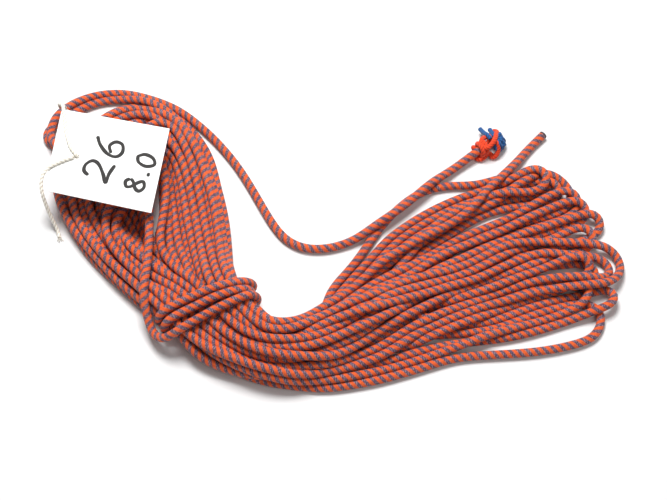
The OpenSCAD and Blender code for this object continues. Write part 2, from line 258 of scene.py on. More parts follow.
@dataclass(frozen=True)
class WovenSheath:
    """Woven nylon sheath of a kernmantle rope.

    Sixteen yarns run each way in a two-over-two braid. Two bands of orange yarns wind
    round the rope between two bands of slate-purple ones. The eye gets matt stitches
    with a soft sheen, solid orange bands, and pale flecks where slate yarns cross.
    """

    name: str = "woven nylon sheath"
    yarns: int = 16
    turn_mm: float = 13.8
    orange: str = "#F0641E"
    orange_under: str = "#CC3F14"
    slate: str = "#66506A"
    slate_deep: str = "#432F3C"
    fleck: str = "#947C88"
    relief_mm: float = 0.35
    relief_strength: float = 0.75
    roughness: float = 0.62
    ior: float = 1.53
    sheen: float = 0.05
    sheen_roughness: float = 0.45

    def material(self) -> bpy.types.Material:
        """Draws the braid from the rope's own lay coordinates, which are turns and metres.

        Returns:
            The material.
        """
        material, tree, shader = new_material(self.name)
        lay = add_node(tree, "ShaderNodeUVMap", {"uv_map": "RopeLay"}, {})
        split = add_node(tree, "ShaderNodeSeparateXYZ", {}, {0: lay})
        turns = add_node(
            tree,
            "ShaderNodeMath",
            {"operation": "MULTIPLY", 1: self.yarns / (self.turn_mm * MILLIMETRE)},
            {0: split.outputs[1]},
        )
        round_ = add_node(
            tree, "ShaderNodeMath", {"operation": "MULTIPLY", 1: float(self.yarns)}, {0: split}
        )
        z_lay = add_node(tree, "ShaderNodeMath", {"operation": "ADD"}, {0: turns, 1: round_})
        s_lay = add_node(tree, "ShaderNodeMath", {"operation": "SUBTRACT"}, {0: turns, 1: round_})
        z_yarn = add_node(tree, "ShaderNodeMath", {"operation": "FLOOR"}, {0: z_lay})
        s_yarn = add_node(tree, "ShaderNodeMath", {"operation": "FLOOR"}, {0: s_lay})
        z_across = add_node(tree, "ShaderNodeMath", {"operation": "FRACT"}, {0: z_lay})
        s_across = add_node(tree, "ShaderNodeMath", {"operation": "FRACT"}, {0: s_lay})
        # Two over, two under: which of the crossing yarns is on top
        both = add_node(tree, "ShaderNodeMath", {"operation": "ADD"}, {0: z_yarn, 1: s_yarn})
        cycle = add_node(tree, "ShaderNodeMath", {"operation": "FLOORED_MODULO", 1: 4.0}, {0: both})
        s_on_top = add_node(
            tree, "ShaderNodeMath", {"operation": "GREATER_THAN", 1: 1.5}, {0: cycle}
        )
        # Four yarns of orange and four of slate, twice round the rope
        band = add_node(
            tree, "ShaderNodeMath", {"operation": "FLOORED_MODULO", 1: 8.0}, {0: z_yarn}
        )
        is_slate = add_node(
            tree, "ShaderNodeMath", {"operation": "GREATER_THAN", 1: 3.5}, {0: band}
        )
        # Each stitch has its own shade, and the flecks come and go along the rope
        stitch = add_node(tree, "ShaderNodeCombineXYZ", {}, {0: z_yarn, 1: s_yarn})
        shade = add_node(
            tree, "ShaderNodeTexWhiteNoise", {"noise_dimensions": "3D"}, {"Vector": stitch}
        )
        orange_mix = add_node(
            tree,
            "ShaderNodeMapRange",
            {"From Min": 0.0, "From Max": 1.0, "To Min": 0.0, "To Max": 0.55},
            {"Value": shade.outputs["Value"]},
        )
        orange = add_node(
            tree,
            "ShaderNodeMix",
            {"data_type": "RGBA", 6: linear(self.orange), 7: linear(self.orange_under)},
            {0: orange_mix},
        )
        pale = add_node(
            tree,
            "ShaderNodeMath",
            {"operation": "GREATER_THAN", 1: 0.5},
            {0: shade.outputs["Value"]},
        )
        is_fleck = add_node(
            tree, "ShaderNodeMath", {"operation": "MULTIPLY"}, {0: pale, 1: s_on_top}
        )
        slate_mix = add_node(
            tree,
            "ShaderNodeMix",
            {"data_type": "RGBA", 6: linear(self.slate), 7: linear(self.slate_deep)},
            {0: shade.outputs["Value"]},
        )
        slate = add_node(
            tree,
            "ShaderNodeMix",
            {"data_type": "RGBA", 7: linear(self.fleck)},
            {0: is_fleck, 6: slate_mix.outputs[2]},
        )
        colour = add_node(
            tree,
            "ShaderNodeMix",
            {"data_type": "RGBA"},
            {0: is_slate, 6: orange.outputs[2], 7: slate.outputs[2]},
        )
        tree.links.new(colour.outputs[2], shader.inputs["Base Color"])
        # Each yarn is round across its width and stands up where it is on top
        across = add_node(
            tree, "ShaderNodeMix", {"data_type": "FLOAT"}, {0: s_on_top, 2: z_across, 3: s_across}
        )
        half_wave = add_node(
            tree, "ShaderNodeMath", {"operation": "MULTIPLY", 1: math.pi}, {0: across}
        )
        crown = add_node(tree, "ShaderNodeMath", {"operation": "SINE"}, {0: half_wave})
        bump = add_node(
            tree,
            "ShaderNodeBump",
            {"Strength": self.relief_strength, "Distance": self.relief_mm * MILLIMETRE},
            {"Height": crown},
        )
        tree.links.new(bump.outputs[0], shader.inputs["Normal"])
        shader.inputs["Roughness"].default_value = self.roughness
        shader.inputs["IOR"].default_value = self.ior
        shader.inputs["Sheen Weight"].default_value = self.sheen
        shader.inputs["Sheen Roughness"].default_value = self.sheen_roughness
        return material


@dataclass(frozen=True)
class TwistedYarn:
    """Spun or filament yarn laid up from plies.

    The plies show as soft diagonal ridges, their grooves in painted shade, and the fibres as fine
    streaks.
    """

    name: str
    # The light colour lies on the plies' crowns, and the dark one is painted shade in the grooves between
    # them
    light: str
    dark: str
    plies: float
    turn_mm: float
    roughness: float
    sheen: float
    relief_mm: float = 0.3

    def material(self) -> bpy.types.Material:
        """Draws ridges and fibre streaks from the yarn's lay coordinates.

        Returns:
            The material.
        """
        material, tree, shader = new_material(self.name)
        lay = add_node(tree, "ShaderNodeUVMap", {"uv_map": "RopeLay"}, {})
        split = add_node(tree, "ShaderNodeSeparateXYZ", {}, {0: lay})
        along = add_node(
            tree,
            "ShaderNodeMath",
            {"operation": "MULTIPLY", 1: self.plies / (self.turn_mm * MILLIMETRE)},
            {0: split.outputs[1]},
        )
        phase = add_node(
            tree,
            "ShaderNodeMath",
            {"operation": "MULTIPLY_ADD", 1: self.plies},
            {0: split, 2: along},
        )
        across = add_node(tree, "ShaderNodeMath", {"operation": "FRACT"}, {0: phase})
        half_wave = add_node(
            tree, "ShaderNodeMath", {"operation": "MULTIPLY", 1: math.pi}, {0: across}
        )
        crown = add_node(tree, "ShaderNodeMath", {"operation": "SINE"}, {0: half_wave})
        streak_place = add_node(tree, "ShaderNodeCombineXYZ", {}, {0: phase, 1: along})
        streaks = add_node(
            tree,
            "ShaderNodeTexNoise",
            {"Scale": 6.0, "Detail": 4.0, "Roughness": 0.65},
            {"Vector": streak_place},
        )
        height = add_node(
            tree, "ShaderNodeMath", {"operation": "MULTIPLY_ADD", 1: 0.35}, {0: streaks, 2: crown}
        )
        # Painted shade: dark in the grooves between the plies, light on their crowns; the streaks are
        # fibre tone
        tone = add_node(
            tree, "ShaderNodeMapRange", {"From Min": 0.1, "From Max": 1.2}, {"Value": height}
        )
        colour = add_node(
            tree,
            "ShaderNodeMix",
            {"data_type": "RGBA", 6: linear(self.dark), 7: linear(self.light)},
            {0: tone},
        )
        tree.links.new(colour.outputs[2], shader.inputs["Base Color"])
        bump = add_node(
            tree,
            "ShaderNodeBump",
            {"Strength": 0.8, "Distance": self.relief_mm * MILLIMETRE},
            {"Height": height},
        )
        tree.links.new(bump.outputs[0], shader.inputs["Normal"])
        shader.inputs["Roughness"].default_value = self.roughness
        shader.inputs["Sheen Weight"].default_value = self.sheen
        return material


@dataclass(frozen=True)
class Mottled:
    """A plain matter with a fine grain, such as card stock or melted nylon.

    The grain gives faint light and dark specks and a slightly uneven face.
    """

    name: str
    light: str
    dark: str
    grain_mm: float
    roughness: float
    relief_mm: float
    contrast: float = 1.0
    coat: float = 0.0

    def material(self) -> bpy.types.Material:
        """Draws fine noise in the solid, with coarse noise over it.

        Returns:
            The material.
        """
        material, tree, shader = new_material(self.name)
        place = add_node(tree, "ShaderNodeTexCoord", {}, {})
        fine = add_node(
            tree,
            "ShaderNodeTexNoise",
            {"Scale": 1 / (self.grain_mm * MILLIMETRE), "Detail": 5.0, "Roughness": 0.6},
            {"Vector": place.outputs["Object"]},
        )
        coarse = add_node(
            tree,
            "ShaderNodeTexNoise",
            {"Scale": 1 / (self.grain_mm * 18 * MILLIMETRE), "Detail": 2.0},
            {"Vector": place.outputs["Object"]},
        )
        both = add_node(
            tree, "ShaderNodeMath", {"operation": "MULTIPLY_ADD", 1: 0.5}, {0: coarse, 2: fine}
        )
        tone = add_node(
            tree,
            "ShaderNodeMapRange",
            {"From Min": 0.75 - 0.4 * self.contrast, "From Max": 0.75 + 0.4 * self.contrast},
            {"Value": both},
        )
        colour = add_node(
            tree,
            "ShaderNodeMix",
            {"data_type": "RGBA", 6: linear(self.dark), 7: linear(self.light)},
            {0: tone},
        )
        tree.links.new(colour.outputs[2], shader.inputs["Base Color"])
        bump = add_node(
            tree,
            "ShaderNodeBump",
            {"Strength": 0.5, "Distance": self.relief_mm * MILLIMETRE},
            {"Height": fine},
        )
        tree.links.new(bump.outputs[0], shader.inputs["Normal"])
        shader.inputs["Roughness"].default_value = self.roughness
        shader.inputs["Coat Weight"].default_value = self.coat
        return material


SHEATH = WovenSheath()
# Two-ply cotton string: matt, creamy, with deep grooves between its plies in painted shade
COTTON = TwistedYarn("twisted cotton string", "#F7F3E8", "#D3C9B8", 2.0, 7.5, 0.9, 0.3)
# Acrylic knotting yarn: bright with a dry sheen; its darker colour is painted shade between the plies
ORANGE_YARN = TwistedYarn("spun acrylic yarn, orange", "#F0430E", "#A52408", 3.0, 7.0, 0.85, 0.15)
BLUE_YARN = TwistedYarn("spun acrylic yarn, blue", "#105C9E", "#08284F", 3.0, 7.0, 0.85, 0.15)
# Core filament: white nylon, satin; its grey is painted shade between the plies
CORE_YARN = TwistedYarn("nylon core strand", "#F2F0EC", "#C4C0BA", 3.0, 6.0, 0.55, 0.1)
# Bleached card stock: white, faintly fibrous, matt
CARD_STOCK = Mottled("bleached card stock", "#FBFBFA", "#E9E9E6", 0.35, 0.85, 0.03)
# Sheath melted and pressed flat: dark, uneven, a little glossy
MELTED_NYLON = Mottled("melted nylon", "#5C4A4C", "#2C2226", 0.6, 0.42, 0.2)
# Marker ink soaked into card: near black with a warm cast
MARKER_INK = Mottled("marker ink on card", "#1E1917", "#100D0C", 0.5, 0.7, 0.01)
# Matt white paper sweep
PAPER_FLOOR = Mottled("matt paper floor", "#E3E3E3", "#E1E1E1", 2.0, 0.95, 0.0)


# ---------------------------------------------------------------- tubes


@dataclass
class Tube:
    """A strand's skin: rings of points along a route, with the lay written in its UVs."""

    name: str
    route: np.ndarray
    diameter: float
    sides: int = 14
    lay_start: float = 0.0
    frames: tuple[np.ndarray, np.ndarray] | None = None
    caps: tuple[bool, bool] = (True, True)
    profile: Callable[[np.ndarray, np.ndarray], np.ndarray] | None = None
    # Longest stretch in one strip of the bake, and the end caps' disc in its corner
    bake_column: float = 700.0
    cap_centre: float = 0.003
    cap_radius: float = 0.002

    def build(self, finish: bpy.types.Material) -> bpy.types.Object:
        """Makes the mesh object.

        Args:
            finish: its material.

        Returns:
            The object, linked to the scene.
        """
        rings, sides = len(self.route), self.sides
        side, other = self.frames if self.frames else carried_frames(self.route)
        s = arc(self.route)
        a = np.arange(sides) * 2 * math.pi / sides
        radius = np.full((rings, sides), self.diameter / 2)
        if self.profile:
            radius = radius * self.profile(a[None, :], s[:, None])
        circle = np.cos(a)[None, :, None] * side[:, None] + np.sin(a)[None, :, None] * other[:, None]
        points = self.route[:, None] + radius[:, :, None] * circle
        verts = metres(points.reshape(-1, 3))
        i = np.arange(rings - 1)[:, None] * sides
        j = np.arange(sides)[None, :]
        k = (j + 1) % sides
        quads = np.stack([i + j, i + sides + j, i + sides + k, i + k], -1).reshape(-1, 4)
        faces = [tuple(q) for q in quads.tolist()]
        if self.caps[0]:
            faces.append(tuple(range(sides)))
        if self.caps[1]:
            last = (rings - 1) * sides
            faces.append(tuple(range(last + sides - 1, last - 1, -1)))
        mesh = bpy.data.meshes.new(self.name)
        mesh.from_pydata(verts.tolist(), [], faces)
        self._write_uvs(mesh, s, len(quads))
        mesh.polygons.foreach_set("use_smooth", [True] * len(mesh.polygons))
        mesh.materials.append(finish)
        mesh.update()
        obj = bpy.data.objects.new(self.name, mesh)
        bpy.context.scene.collection.objects.link(obj)
        return obj

    def _write_uvs(self, mesh: bpy.types.Mesh, s: np.ndarray, count: int) -> None:
        """Writes the strips that the bake uses, then the lay coordinates.

        Args:
            mesh: the tube's mesh.
            s: distance along the route at each ring.
            count: number of the tube's side faces.
        """
        sides = self.sides
        rings = len(s)
        columns = max(1, int(math.ceil(s[-1] / self.bake_column)))
        per_column = int(math.ceil((rings - 1) / columns))
        ring = np.repeat(np.arange(rings - 1), sides)
        j = np.tile(np.arange(sides), rings - 1)
        column = ring // per_column
        low = (ring - column * per_column) / per_column
        high = low + 1 / per_column
        margin = 0.04
        width = 1 - 2 * margin
        left = (column + margin + width * j / sides) / columns
        right = (column + margin + width * (j + 1) / sides) / columns
        pad = 0.985
        bake = np.stack(
            [
                np.stack([left, left, right, right], 1),
                np.stack([low, high, high, low], 1) * pad + (1 - pad) / 2,
            ],
            -1,
        )
        lay_low = (self.lay_start + s[ring]) * MILLIMETRE
        lay_high = (self.lay_start + s[ring + 1]) * MILLIMETRE
        lay = np.stack(
            [
                np.stack([j, j, j + 1, j + 1], 1) / sides,
                np.stack([lay_low, lay_high, lay_high, lay_low], 1),
            ],
            -1,
        )
        # The end caps share a small disc in the corner of the bake, and one place of the lay
        extra = len(mesh.loops) - count * 4
        angle = np.linspace(0, 2 * math.pi, extra, endpoint=False)
        disc = self.cap_centre + self.cap_radius * np.stack([np.cos(angle), np.sin(angle)], 1)
        place = np.full((extra, 2), lay_low[0])
        for name, values, ends in (("OFBake", bake, disc), ("RopeLay", lay, place)):
            layer = mesh.uv_layers.new(name=name)
            layer.data.foreach_set("uv", np.vstack([values.reshape(-1, 2), ends]).ravel())


# ---------------------------------------------------------------- settling

# Radius that folds are opened to, in diameters, and the share of what they lack that a step
# gives them. The crowd at the loops' tips leaves some a little tighter.
FOLD_RADIUS = 1.6
FOLD_PUSH = 0.3
# Steps between two searches for neighbours, and how far past a touch they look
SEARCH_EVERY = 8
SEARCH_MARGIN = 3.0
# Links of one strand that are nearer along it than this many diameters don't meet
OWN_REACH = 2.2
# The furthest that touches move a point in one step
LARGEST_PUSH = 1.5


class Settling:
    """Limp strands that settle on each other and on the floor under their weight."""

    def __init__(self, chains: Sequence[np.ndarray], step: float, thickness: float) -> None:
        """Takes the strands as they start.

        Args:
            chains: the strands' points, an even step apart.
            step: that step.
            thickness: the strands' diameter.
        """
        self.points = np.vstack(chains).astype(float)
        self.step = step
        self.thickness = thickness
        sizes = [len(c) for c in chains]
        count = len(self.points)
        strand = np.repeat(np.arange(len(chains)), sizes)
        self.first = np.nonzero(strand[:-1] == strand[1:])[0]
        self.strand = strand[self.first]
        self.rest = np.zeros(count)
        self.rest[self.first] = np.linalg.norm(
            self.points[self.first + 1] - self.points[self.first], axis=1
        )
        self.loose = np.ones(count)
        self.home = self.points[:, :2].copy()
        self.pull = np.zeros(count)
        middle = np.arange(1, count - 1)
        self.middle = middle[strand[middle - 1] == strand[middle + 1]]
        wide = np.arange(2, count - 2)
        self.folds = {1: self.middle, 2: wide[strand[wide - 2] == strand[wide + 2]]}

    def run(
        self,
        rounds: int,
        weight: float,
        bend: float,
        limit: Callable[[np.ndarray], None],
        firmness: float = 0.5,
        last_weight: float = 0.03,
    ) -> None:
        """Lets the strands move.

        Args:
            rounds: number of steps.
            weight: how far a free point sinks in the first step, in millimetres.
            bend: how strongly a strand straightens, from 0 to 0.5.
            limit: keeps the points in place, above the floor for one.
            firmness: share of an overlap that a step takes away.
            last_weight: how far a free point sinks in the last step.
        """
        x, loose = self.points, self.loose
        count = len(x)
        free = (loose > 0).astype(float)
        halves = [self.first[self.first % 2 == k] for k in (0, 1)]
        reach = self.step + self.thickness + SEARCH_MARGIN
        inner = self.middle[loose[self.middle] > 0]
        for step in range(rounds):
            if step % SEARCH_EVERY == 0:
                one, two = self._near_pairs(reach)
            x[:, 2] -= (weight + (last_weight - weight) * step / rounds) * free
            x[:, :2] += (self.home - x[:, :2]) * (self.pull * free)[:, None]
            self._push_apart(one, two, firmness, count)
            for part in halves * 2:
                d = x[part + 1] - x[part]
                size = np.sqrt((d * d).sum(1))
                share = np.maximum(loose[part] + loose[part + 1], 1e-6)
                k = (size - self.rest[part]) / np.maximum(size, 1e-6) / share
                x[part] += d * (k * loose[part])[:, None]
                x[part + 1] -= d * (k * loose[part + 1])[:, None]
            x[inner] += bend * (0.5 * (x[inner - 1] + x[inner + 1]) - x[inner])
            self._open_folds(FOLD_RADIUS * self.thickness)
            limit(x)

    def _open_folds(self, radius: float) -> None:
        """Opens tight bends, each by a share of what it lacks.

        Args:
            radius: the radius that bends are opened to.
        """
        x, loose = self.points, self.loose
        for reach, middle in self.folds.items():
            low, high = middle - reach, middle + reach
            chord = 2 * radius * math.sin(min(reach * self.step / radius, math.pi / 2))
            d = x[high] - x[low]
            size = np.maximum(np.sqrt((d * d).sum(1)), 1e-6)
            push = d * (FOLD_PUSH * np.maximum(chord - size, 0) / size)[:, None]
            x[low] -= push * loose[low, None]
            x[high] += push * loose[high, None]

    def _near_pairs(self, reach: float) -> tuple[np.ndarray, np.ndarray]:
        """Pairs of links whose middles lie within reach.

        Args:
            reach: the distance.

        Returns:
            The first points of the two links of each pair.
        """
        mid = 0.5 * (self.points[self.first] + self.points[self.first + 1])
        cell = np.floor(mid / reach).astype(np.int64)
        cell -= cell.min(0)
        size = cell.max(0) + 3
        key = ((cell[:, 0] + 1) * size[1] + cell[:, 1] + 1) * size[2] + cell[:, 2] + 1
        order = np.argsort(key, kind="stable")
        ranked = key[order]
        ones, twos = [], []
        near = [(i, j, k) for i in (0, 1) for j in (-1, 0, 1) for k in (-1, 0, 1)]
        for i, j, k in (n for n in near if n >= (0, 0, 0)):
            target = key + (i * size[1] + j) * size[2] + k
            low = np.searchsorted(ranked, target, "left")
            found = np.searchsorted(ranked, target, "right") - low
            total = int(found.sum())
            one = np.repeat(np.arange(len(mid)), found)
            offset = np.repeat(low - np.concatenate([[0], np.cumsum(found)[:-1]]), found)
            two = order[np.arange(total) + offset]
            if (i, j, k) == (0, 0, 0):
                one, two = one[one < two], two[one < two]
            ones.append(one)
            twos.append(two)
        one, two = np.concatenate(ones), np.concatenate(twos)
        gap = mid[one] - mid[two]
        keep = (gap * gap).sum(1) < reach * reach
        skip = int(math.ceil(OWN_REACH * self.thickness / self.step))
        keep &= ~((self.strand[one] == self.strand[two]) & (np.abs(one - two) < skip))
        one, two = self.first[one[keep]], self.first[two[keep]]
        moving = self.loose[one] + self.loose[two] > 0
        return one[moving], two[moving]

    def _push_apart(self, one: np.ndarray, two: np.ndarray, firmness: float, count: int) -> None:
        """Moves overlapping links apart.

        Args:
            one: first points of one link of each pair.
            two: first points of the other.
            firmness: share of the overlap taken away.
            count: number of points.
        """
        x, loose = self.points, self.loose
        p, q = x[one], x[two]
        u, v = x[one + 1] - p, x[two + 1] - q
        r = p - q
        uu, vv, uv = (u * u).sum(1), (v * v).sum(1), (u * v).sum(1)
        ur, vr = (u * r).sum(1), (v * r).sum(1)
        den = uu * vv - uv * uv
        s = np.where(den > 1e-9 * uu * vv, (uv * vr - ur * vv) / np.maximum(den, 1e-9), 0.5)
        s = np.clip(s, 0, 1)
        t_free = (uv * s + vr) / vv
        t = np.clip(t_free, 0, 1)
        s = np.where(t != t_free, np.clip((uv * t - ur) / uu, 0, 1), s)
        gap = r + u * s[:, None] - v * t[:, None]
        size = np.sqrt((gap * gap).sum(1))
        hit = size < self.thickness
        if not hit.any():
            return
        one, two, s, t, gap, size = one[hit], two[hit], s[hit], t[hit], gap[hit], size[hit]
        parts = [
            (one, loose[one] * (1 - s), (1 - s)),
            (one + 1, loose[one + 1] * s, s),
            (two, -loose[two] * (1 - t), -(1 - t)),
            (two + 1, -loose[two + 1] * t, -t),
        ]
        den = sum(w * c for _, w, c in parts)
        push = gap * (firmness * (self.thickness - size) / np.maximum(den * size, 1e-6))[:, None]
        index = np.concatenate([i for i, _, _ in parts])
        for axis in range(3):
            value = np.concatenate([push[:, axis] * w for _, w, _ in parts])
            moves = np.bincount(index, value, count)
            x[:, axis] += np.clip(moves, -LARGEST_PUSH, LARGEST_PUSH)


# ---------------------------------------------------------------- the rope's route

# The sleeve of sheath at the cut end
CUT_START = np.array([178.0, 103.8, 4.0])
CUT_WAY = np.array([math.cos(math.radians(46)), math.sin(math.radians(46)), 0.0])
SLEEVE = 12.0
SLEEVE_END = CUT_START + SLEEVE * CUT_WAY


@dataclass(frozen=True)
class Bight:
    """The wide end of one loop.

    Ranks run from 0 at the hank's upper edge to 1 at its lower edge. Where way_out or
    way_back is given, that leg leaves the bundle after the kept cross lines and follows it.
    """

    rank_out: float
    rank_back: float
    tip: tuple[float, float]
    half_width: float
    way_out: tuple[tuple[float, float], ...] = ()
    way_back: tuple[tuple[float, float], ...] = ()
    kept: int = 4


@dataclass
class Hank:
    """The loops of the hank: how they are laid down, and how they settle."""

    thickness: float = ROPE_WIDTH
    lanes: int = 4
    stations: int = 24
    node_step: float = 6.5
    first_station: int = -3
    # Stations run from minus this to plus this in the head, and the body takes the rest
    head_stations: int = 5
    body_from: float = 5.6
    body_span: float = 12.8
    # Small deviations: of a point in the head in millimetres, of one in the body in rank
    head_wobble: float = 2.5
    body_wobble: float = 0.025
    waist: tuple[float, float] = (-101.8, -66.9)
    waist_angle: float = -50.0
    waist_half: float = 29.5
    waist_core: float = 20.0
    # How far the winding's turns lean from square to the strands
    skew: float = 0.3
    exit_turn: float = 22.0
    exit_from: tuple[float, float] = (-18.0, -14.0)
    # Lowest loop first
    bights: tuple[Bight, ...] = (
        Bight(
            0.90, 1.0, (226, -62), 12, kept=5,
            way_back=((221, -82), (196, -91), (169, -96.5), (131, -99), (93, -100.5), (66, -106)),
        ),
        Bight(
            0.86, 1.0, (238, -42), 11, kept=5,
            way_back=((233, -54), (216, -61), (195, -67), (170, -74), (138, -83), (95, -93)),
        ),
        Bight(
            0.02, 0.10, (192, 62), 11,
            ((-2, -42), (15, -20), (30, 4), (43, 24), (58, 41), (74, 54.5), (90, 60.5), (106, 62),
             (120, 61), (134, 62), (148, 69), (162, 72), (176, 70)),
        ),
        Bight(0.56, 0.66, (227, -28), 11.5),
        Bight(0.66, 0.80, (222, -18), 11.5),
        Bight(0.07, 0.17, (200, 60), 11.5),
        Bight(0.20, 0.32, (213, 50), 11.5, ((158, 61), (172, 66), (185, 69.5), (199, 67)), kept=7),
        Bight(0.03, 0.11, (190, 65), 11.5),
        Bight(0.80, 0.95, (219, -40), 11.5),
        Bight(0.28, 0.38, (215, 49), 11.5),
        Bight(0.34, 0.44, (222, 38), 11.5),
        Bight(0.42, 0.52, (234, 24), 11.5),
        Bight(0.48, 0.60, (226, 12), 11.5),
        Bight(0.56, 0.70, (240, -23), 11.5),
        Bight(0.44, 0.78, (247, -17), 20),
    )  # fmt: skip
    # A small bight of the outermost loop that stands out beside the tag
    stub_loop: int = 8
    stub: tuple = (
        (-236, 95), (-248, 103.5), (-257.5, 106.5), (-261, 112), (-253, 119), (-242, 130),
        (-231, 139.5), (-218, 147), (-202, 151), (-186, 150.5), (-170, 146),
    )  # fmt: skip
    # Loops that stray, and how far they shift inwards: left leg, right leg, head
    strays: tuple = (
        (1, 1.05, 1.69, 0.0), (2, 0.92, 1.0, 0.0), (3, 0.7, 0.3, 0.0), (4, 0.1, 0.40, 0.0),
        (12, 0.0, 0.95, 0.0), (13, 0.0, 0.0, 0.75), (14, 0.0, 0.0, 1.0),
    )  # fmt: skip
    # Strands that bridge the eye: loop, first and last station, and the height they keep
    bridges: tuple = ((12, 1.4, 4.6, 17.0), (14, -2.2, 1.0, 25.6))
    # How firmly points keep their place: anywhere, at the loops' tips, at the cut, on the way in
    keep: float = 0.012
    keep_tips: float = 0.06
    keep_cut: float = 0.05
    keep_way_in: float = 0.1
    cut_points: int = 28
    # Room for the winding: its middle along the strands, half its length, how far the strands
    # are lifted beside it, over which length they come down, and how far across it counts
    turns_middle: float = -5.0
    turns_half: float = 16.0
    lift_half: float = 36.0
    lift_ramp: float = 20.0
    lift_across: float = 70.0
    # Share of the way that strands in the winding are drawn in by a step
    draw_in: float = 0.3
    seed: int = 7
    # Last of the rope: over the loops, down the hank's edge and out along the ground
    short_tail: tuple = (
        (13, -45), (42, -19), (76, 4), (108, 23), (122, 34), (137, 54), (152, 71),
        (165, 88), (171.7, 97.3), (178, 103.8),
    )  # fmt: skip

    def __post_init__(self) -> None:
        """Works out the directions at the waist and the outlines of the two halves."""
        angle = math.radians(self.waist_angle)
        self.along = np.array([math.cos(angle), math.sin(angle)])
        self.across = np.array([-math.sin(angle), math.cos(angle)])
        half, core, at = self.waist_half, self.waist_core, self.at_waist
        self.head_outer = np.array(
            [at(-24, -half), (-187, -24), (-235, 35), (-220, 116), (-174, 142), (-130, 117)]
            + [(-103, 42), at(-18, half + 3)]
        )
        self.head_inner = np.array(
            [at(-core, 0), (-158, -18), (-186, 28), (-186, 72), (-164, 96), (-138, 70)]
            + [(-128, 18), at(-core, 0)]
        )
        # Cross lines of the body, from its upper edge to its lower one
        self.upper = np.array(
            [at(17, half), (-54, -81), (-31, -84), (-4, -60), (17, -26), (42, 4), (78, 32)]
            + [(125, 58), (172, 68)]
        )
        self.lower = np.array(
            [at(17, -half), (-95, -106), (-61, -122), (-10, -130), (41, -119), (87, -104)]
            + [(137, -89), (176, -73), (207, -52)]
        )

    def at_waist(self, s: float, p: float) -> tuple[float, float]:
        """The point s along the strands and p across them from the waist's middle."""
        return tuple(np.array(self.waist) + s * self.along + p * self.across)

    def in_turns(self, x: np.ndarray) -> tuple[np.ndarray, np.ndarray]:
        """Place of points in the winding.

        Args:
            x: the points.

        Returns:
            How far each lies along the strands, and how far across them.
        """
        d = x[:, :2] - np.array(self.waist)
        p = d @ self.across
        return d @ self.along - self.skew * p, p

    def lane_at(self, t: float) -> float:
        """Lane after t loops: in over one layer and out over the next."""
        x = (t + 0.25) % (2 * self.lanes)
        return x - 0.25 if x <= self.lanes else 2 * self.lanes - 0.25 - x

    def on_head(self, loop: int, k: float) -> tuple[np.ndarray, np.ndarray]:
        """Place of a loop in the head.

        Args:
            loop: the loop's number.
            k: the station, below 0 on the left leg and above 0 on the right one.

        Returns:
            The place, and the unit direction inwards there.
        """
        samples = 8
        spans = len(self.head_outer) - 1
        u = int(round((0.5 + k / (2 * self.head_stations)) * spans * samples))
        outer, inner = (catmull(edge, samples)[u] for edge in (self.head_outer, self.head_inner))
        lane = self.lane_at(loop + k / self.stations) / self.lanes
        for stray, left, right, head in self.strays:
            if loop == stray:
                free = float(ease((abs(k) - 0.8) / 1.4) * ease((5.2 - abs(k)) / 1.2))
                lane += (left if k < 0 else right) * free
                lane += head * float(ease((1.8 - abs(k + 0.8)) / 1.4))
        inward = inner - outer
        return outer + inward * lane, inward / np.linalg.norm(inward)

    def on_body(self, line: int, rank: float) -> np.ndarray:
        """Point of a cross line of the body at a rank."""
        return self.upper[line] + (self.lower[line] - self.upper[line]) * rank

    def bight_points(self, loop: int, wobble: np.random.Generator) -> list[np.ndarray]:
        """Ground points of one loop's body half, from the waist out and back.

        Args:
            loop: the loop's number.
            wobble: where its small deviations come from.

        Returns:
            The points in order.
        """
        bight = self.bights[loop]
        tip = np.array(bight.tip, float)
        waist_out = self.lane_at(loop + 0.25) / 8
        waist_back = 1 - self.lane_at(loop + 0.75) / 8
        legs = []
        for start, end in ((waist_out, bight.rank_out), (waist_back, bight.rank_back)):
            leg = []
            for line in range(8):
                rank = start + (end - start) * float(ease((line - 0.5) / 6))
                stray = wobble.normal(0, self.body_wobble) if 1 < line < 7 else 0
                leg.append(self.on_body(line, rank + stray))
            legs.append(leg)
        out, back = legs
        heading = tip - 0.5 * (self.on_body(7, bight.rank_out) + self.on_body(7, bight.rank_back))
        heading /= np.linalg.norm(heading)
        side = np.array([-heading[1], heading[0]])
        w = bight.half_width
        reach = max(18.0, 1.3 * w)
        turn = [
            tip - heading * reach + side * w,
            tip - heading * w * 0.45 + side * w * 0.85,
            tip,
            tip - heading * w * 0.45 - side * w * 0.85,
            tip - heading * reach - side * w,
        ]
        if bight.way_out:
            out = out[: bight.kept] + [np.array(p, float) for p in bight.way_out]
            turn = turn[1:]
        if bight.way_back:
            back = back[: bight.kept] + [np.array(p, float) for p in bight.way_back[::-1]]
            turn = turn[:-1]
        return out + turn + back[::-1]

